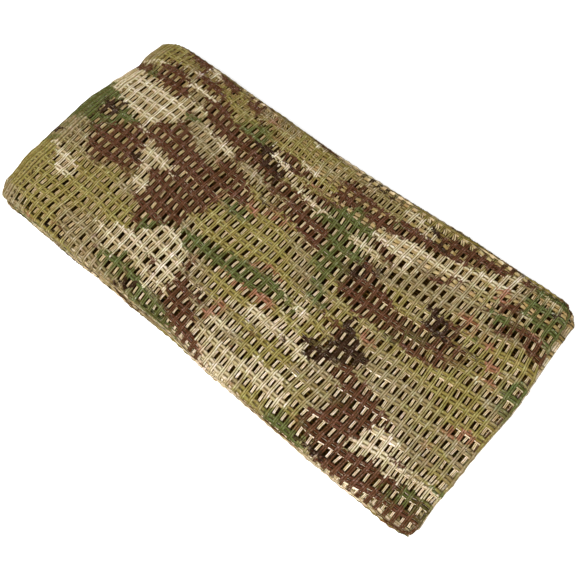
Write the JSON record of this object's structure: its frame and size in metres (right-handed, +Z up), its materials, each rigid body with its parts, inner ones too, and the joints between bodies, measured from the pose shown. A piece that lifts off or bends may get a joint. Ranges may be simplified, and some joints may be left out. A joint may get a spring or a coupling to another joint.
{
  "type": "folded camouflage scrim net",
  "caption": "Open-weave camouflage net cloth folded into a flat rectangular packet, with a rounded fold at one end; a cover, screen or scarf when opened out.",
  "frame": {"origin": "middle of the folded packet's box, on its flat underside", "axes": "+Z up off the surface, +X along the packet towards its loose ends, +Y towards the long edge with the loose edges"},
  "size_m": [0.4879, 0.2298, 0.0274],
  "materials": {
    "net_cloth": "matte printed cotton net, fuzzy yarn"
  },
  "bodies": {
    "root": {"folded_net": "net_cloth"}
  },
  "joints": []
}
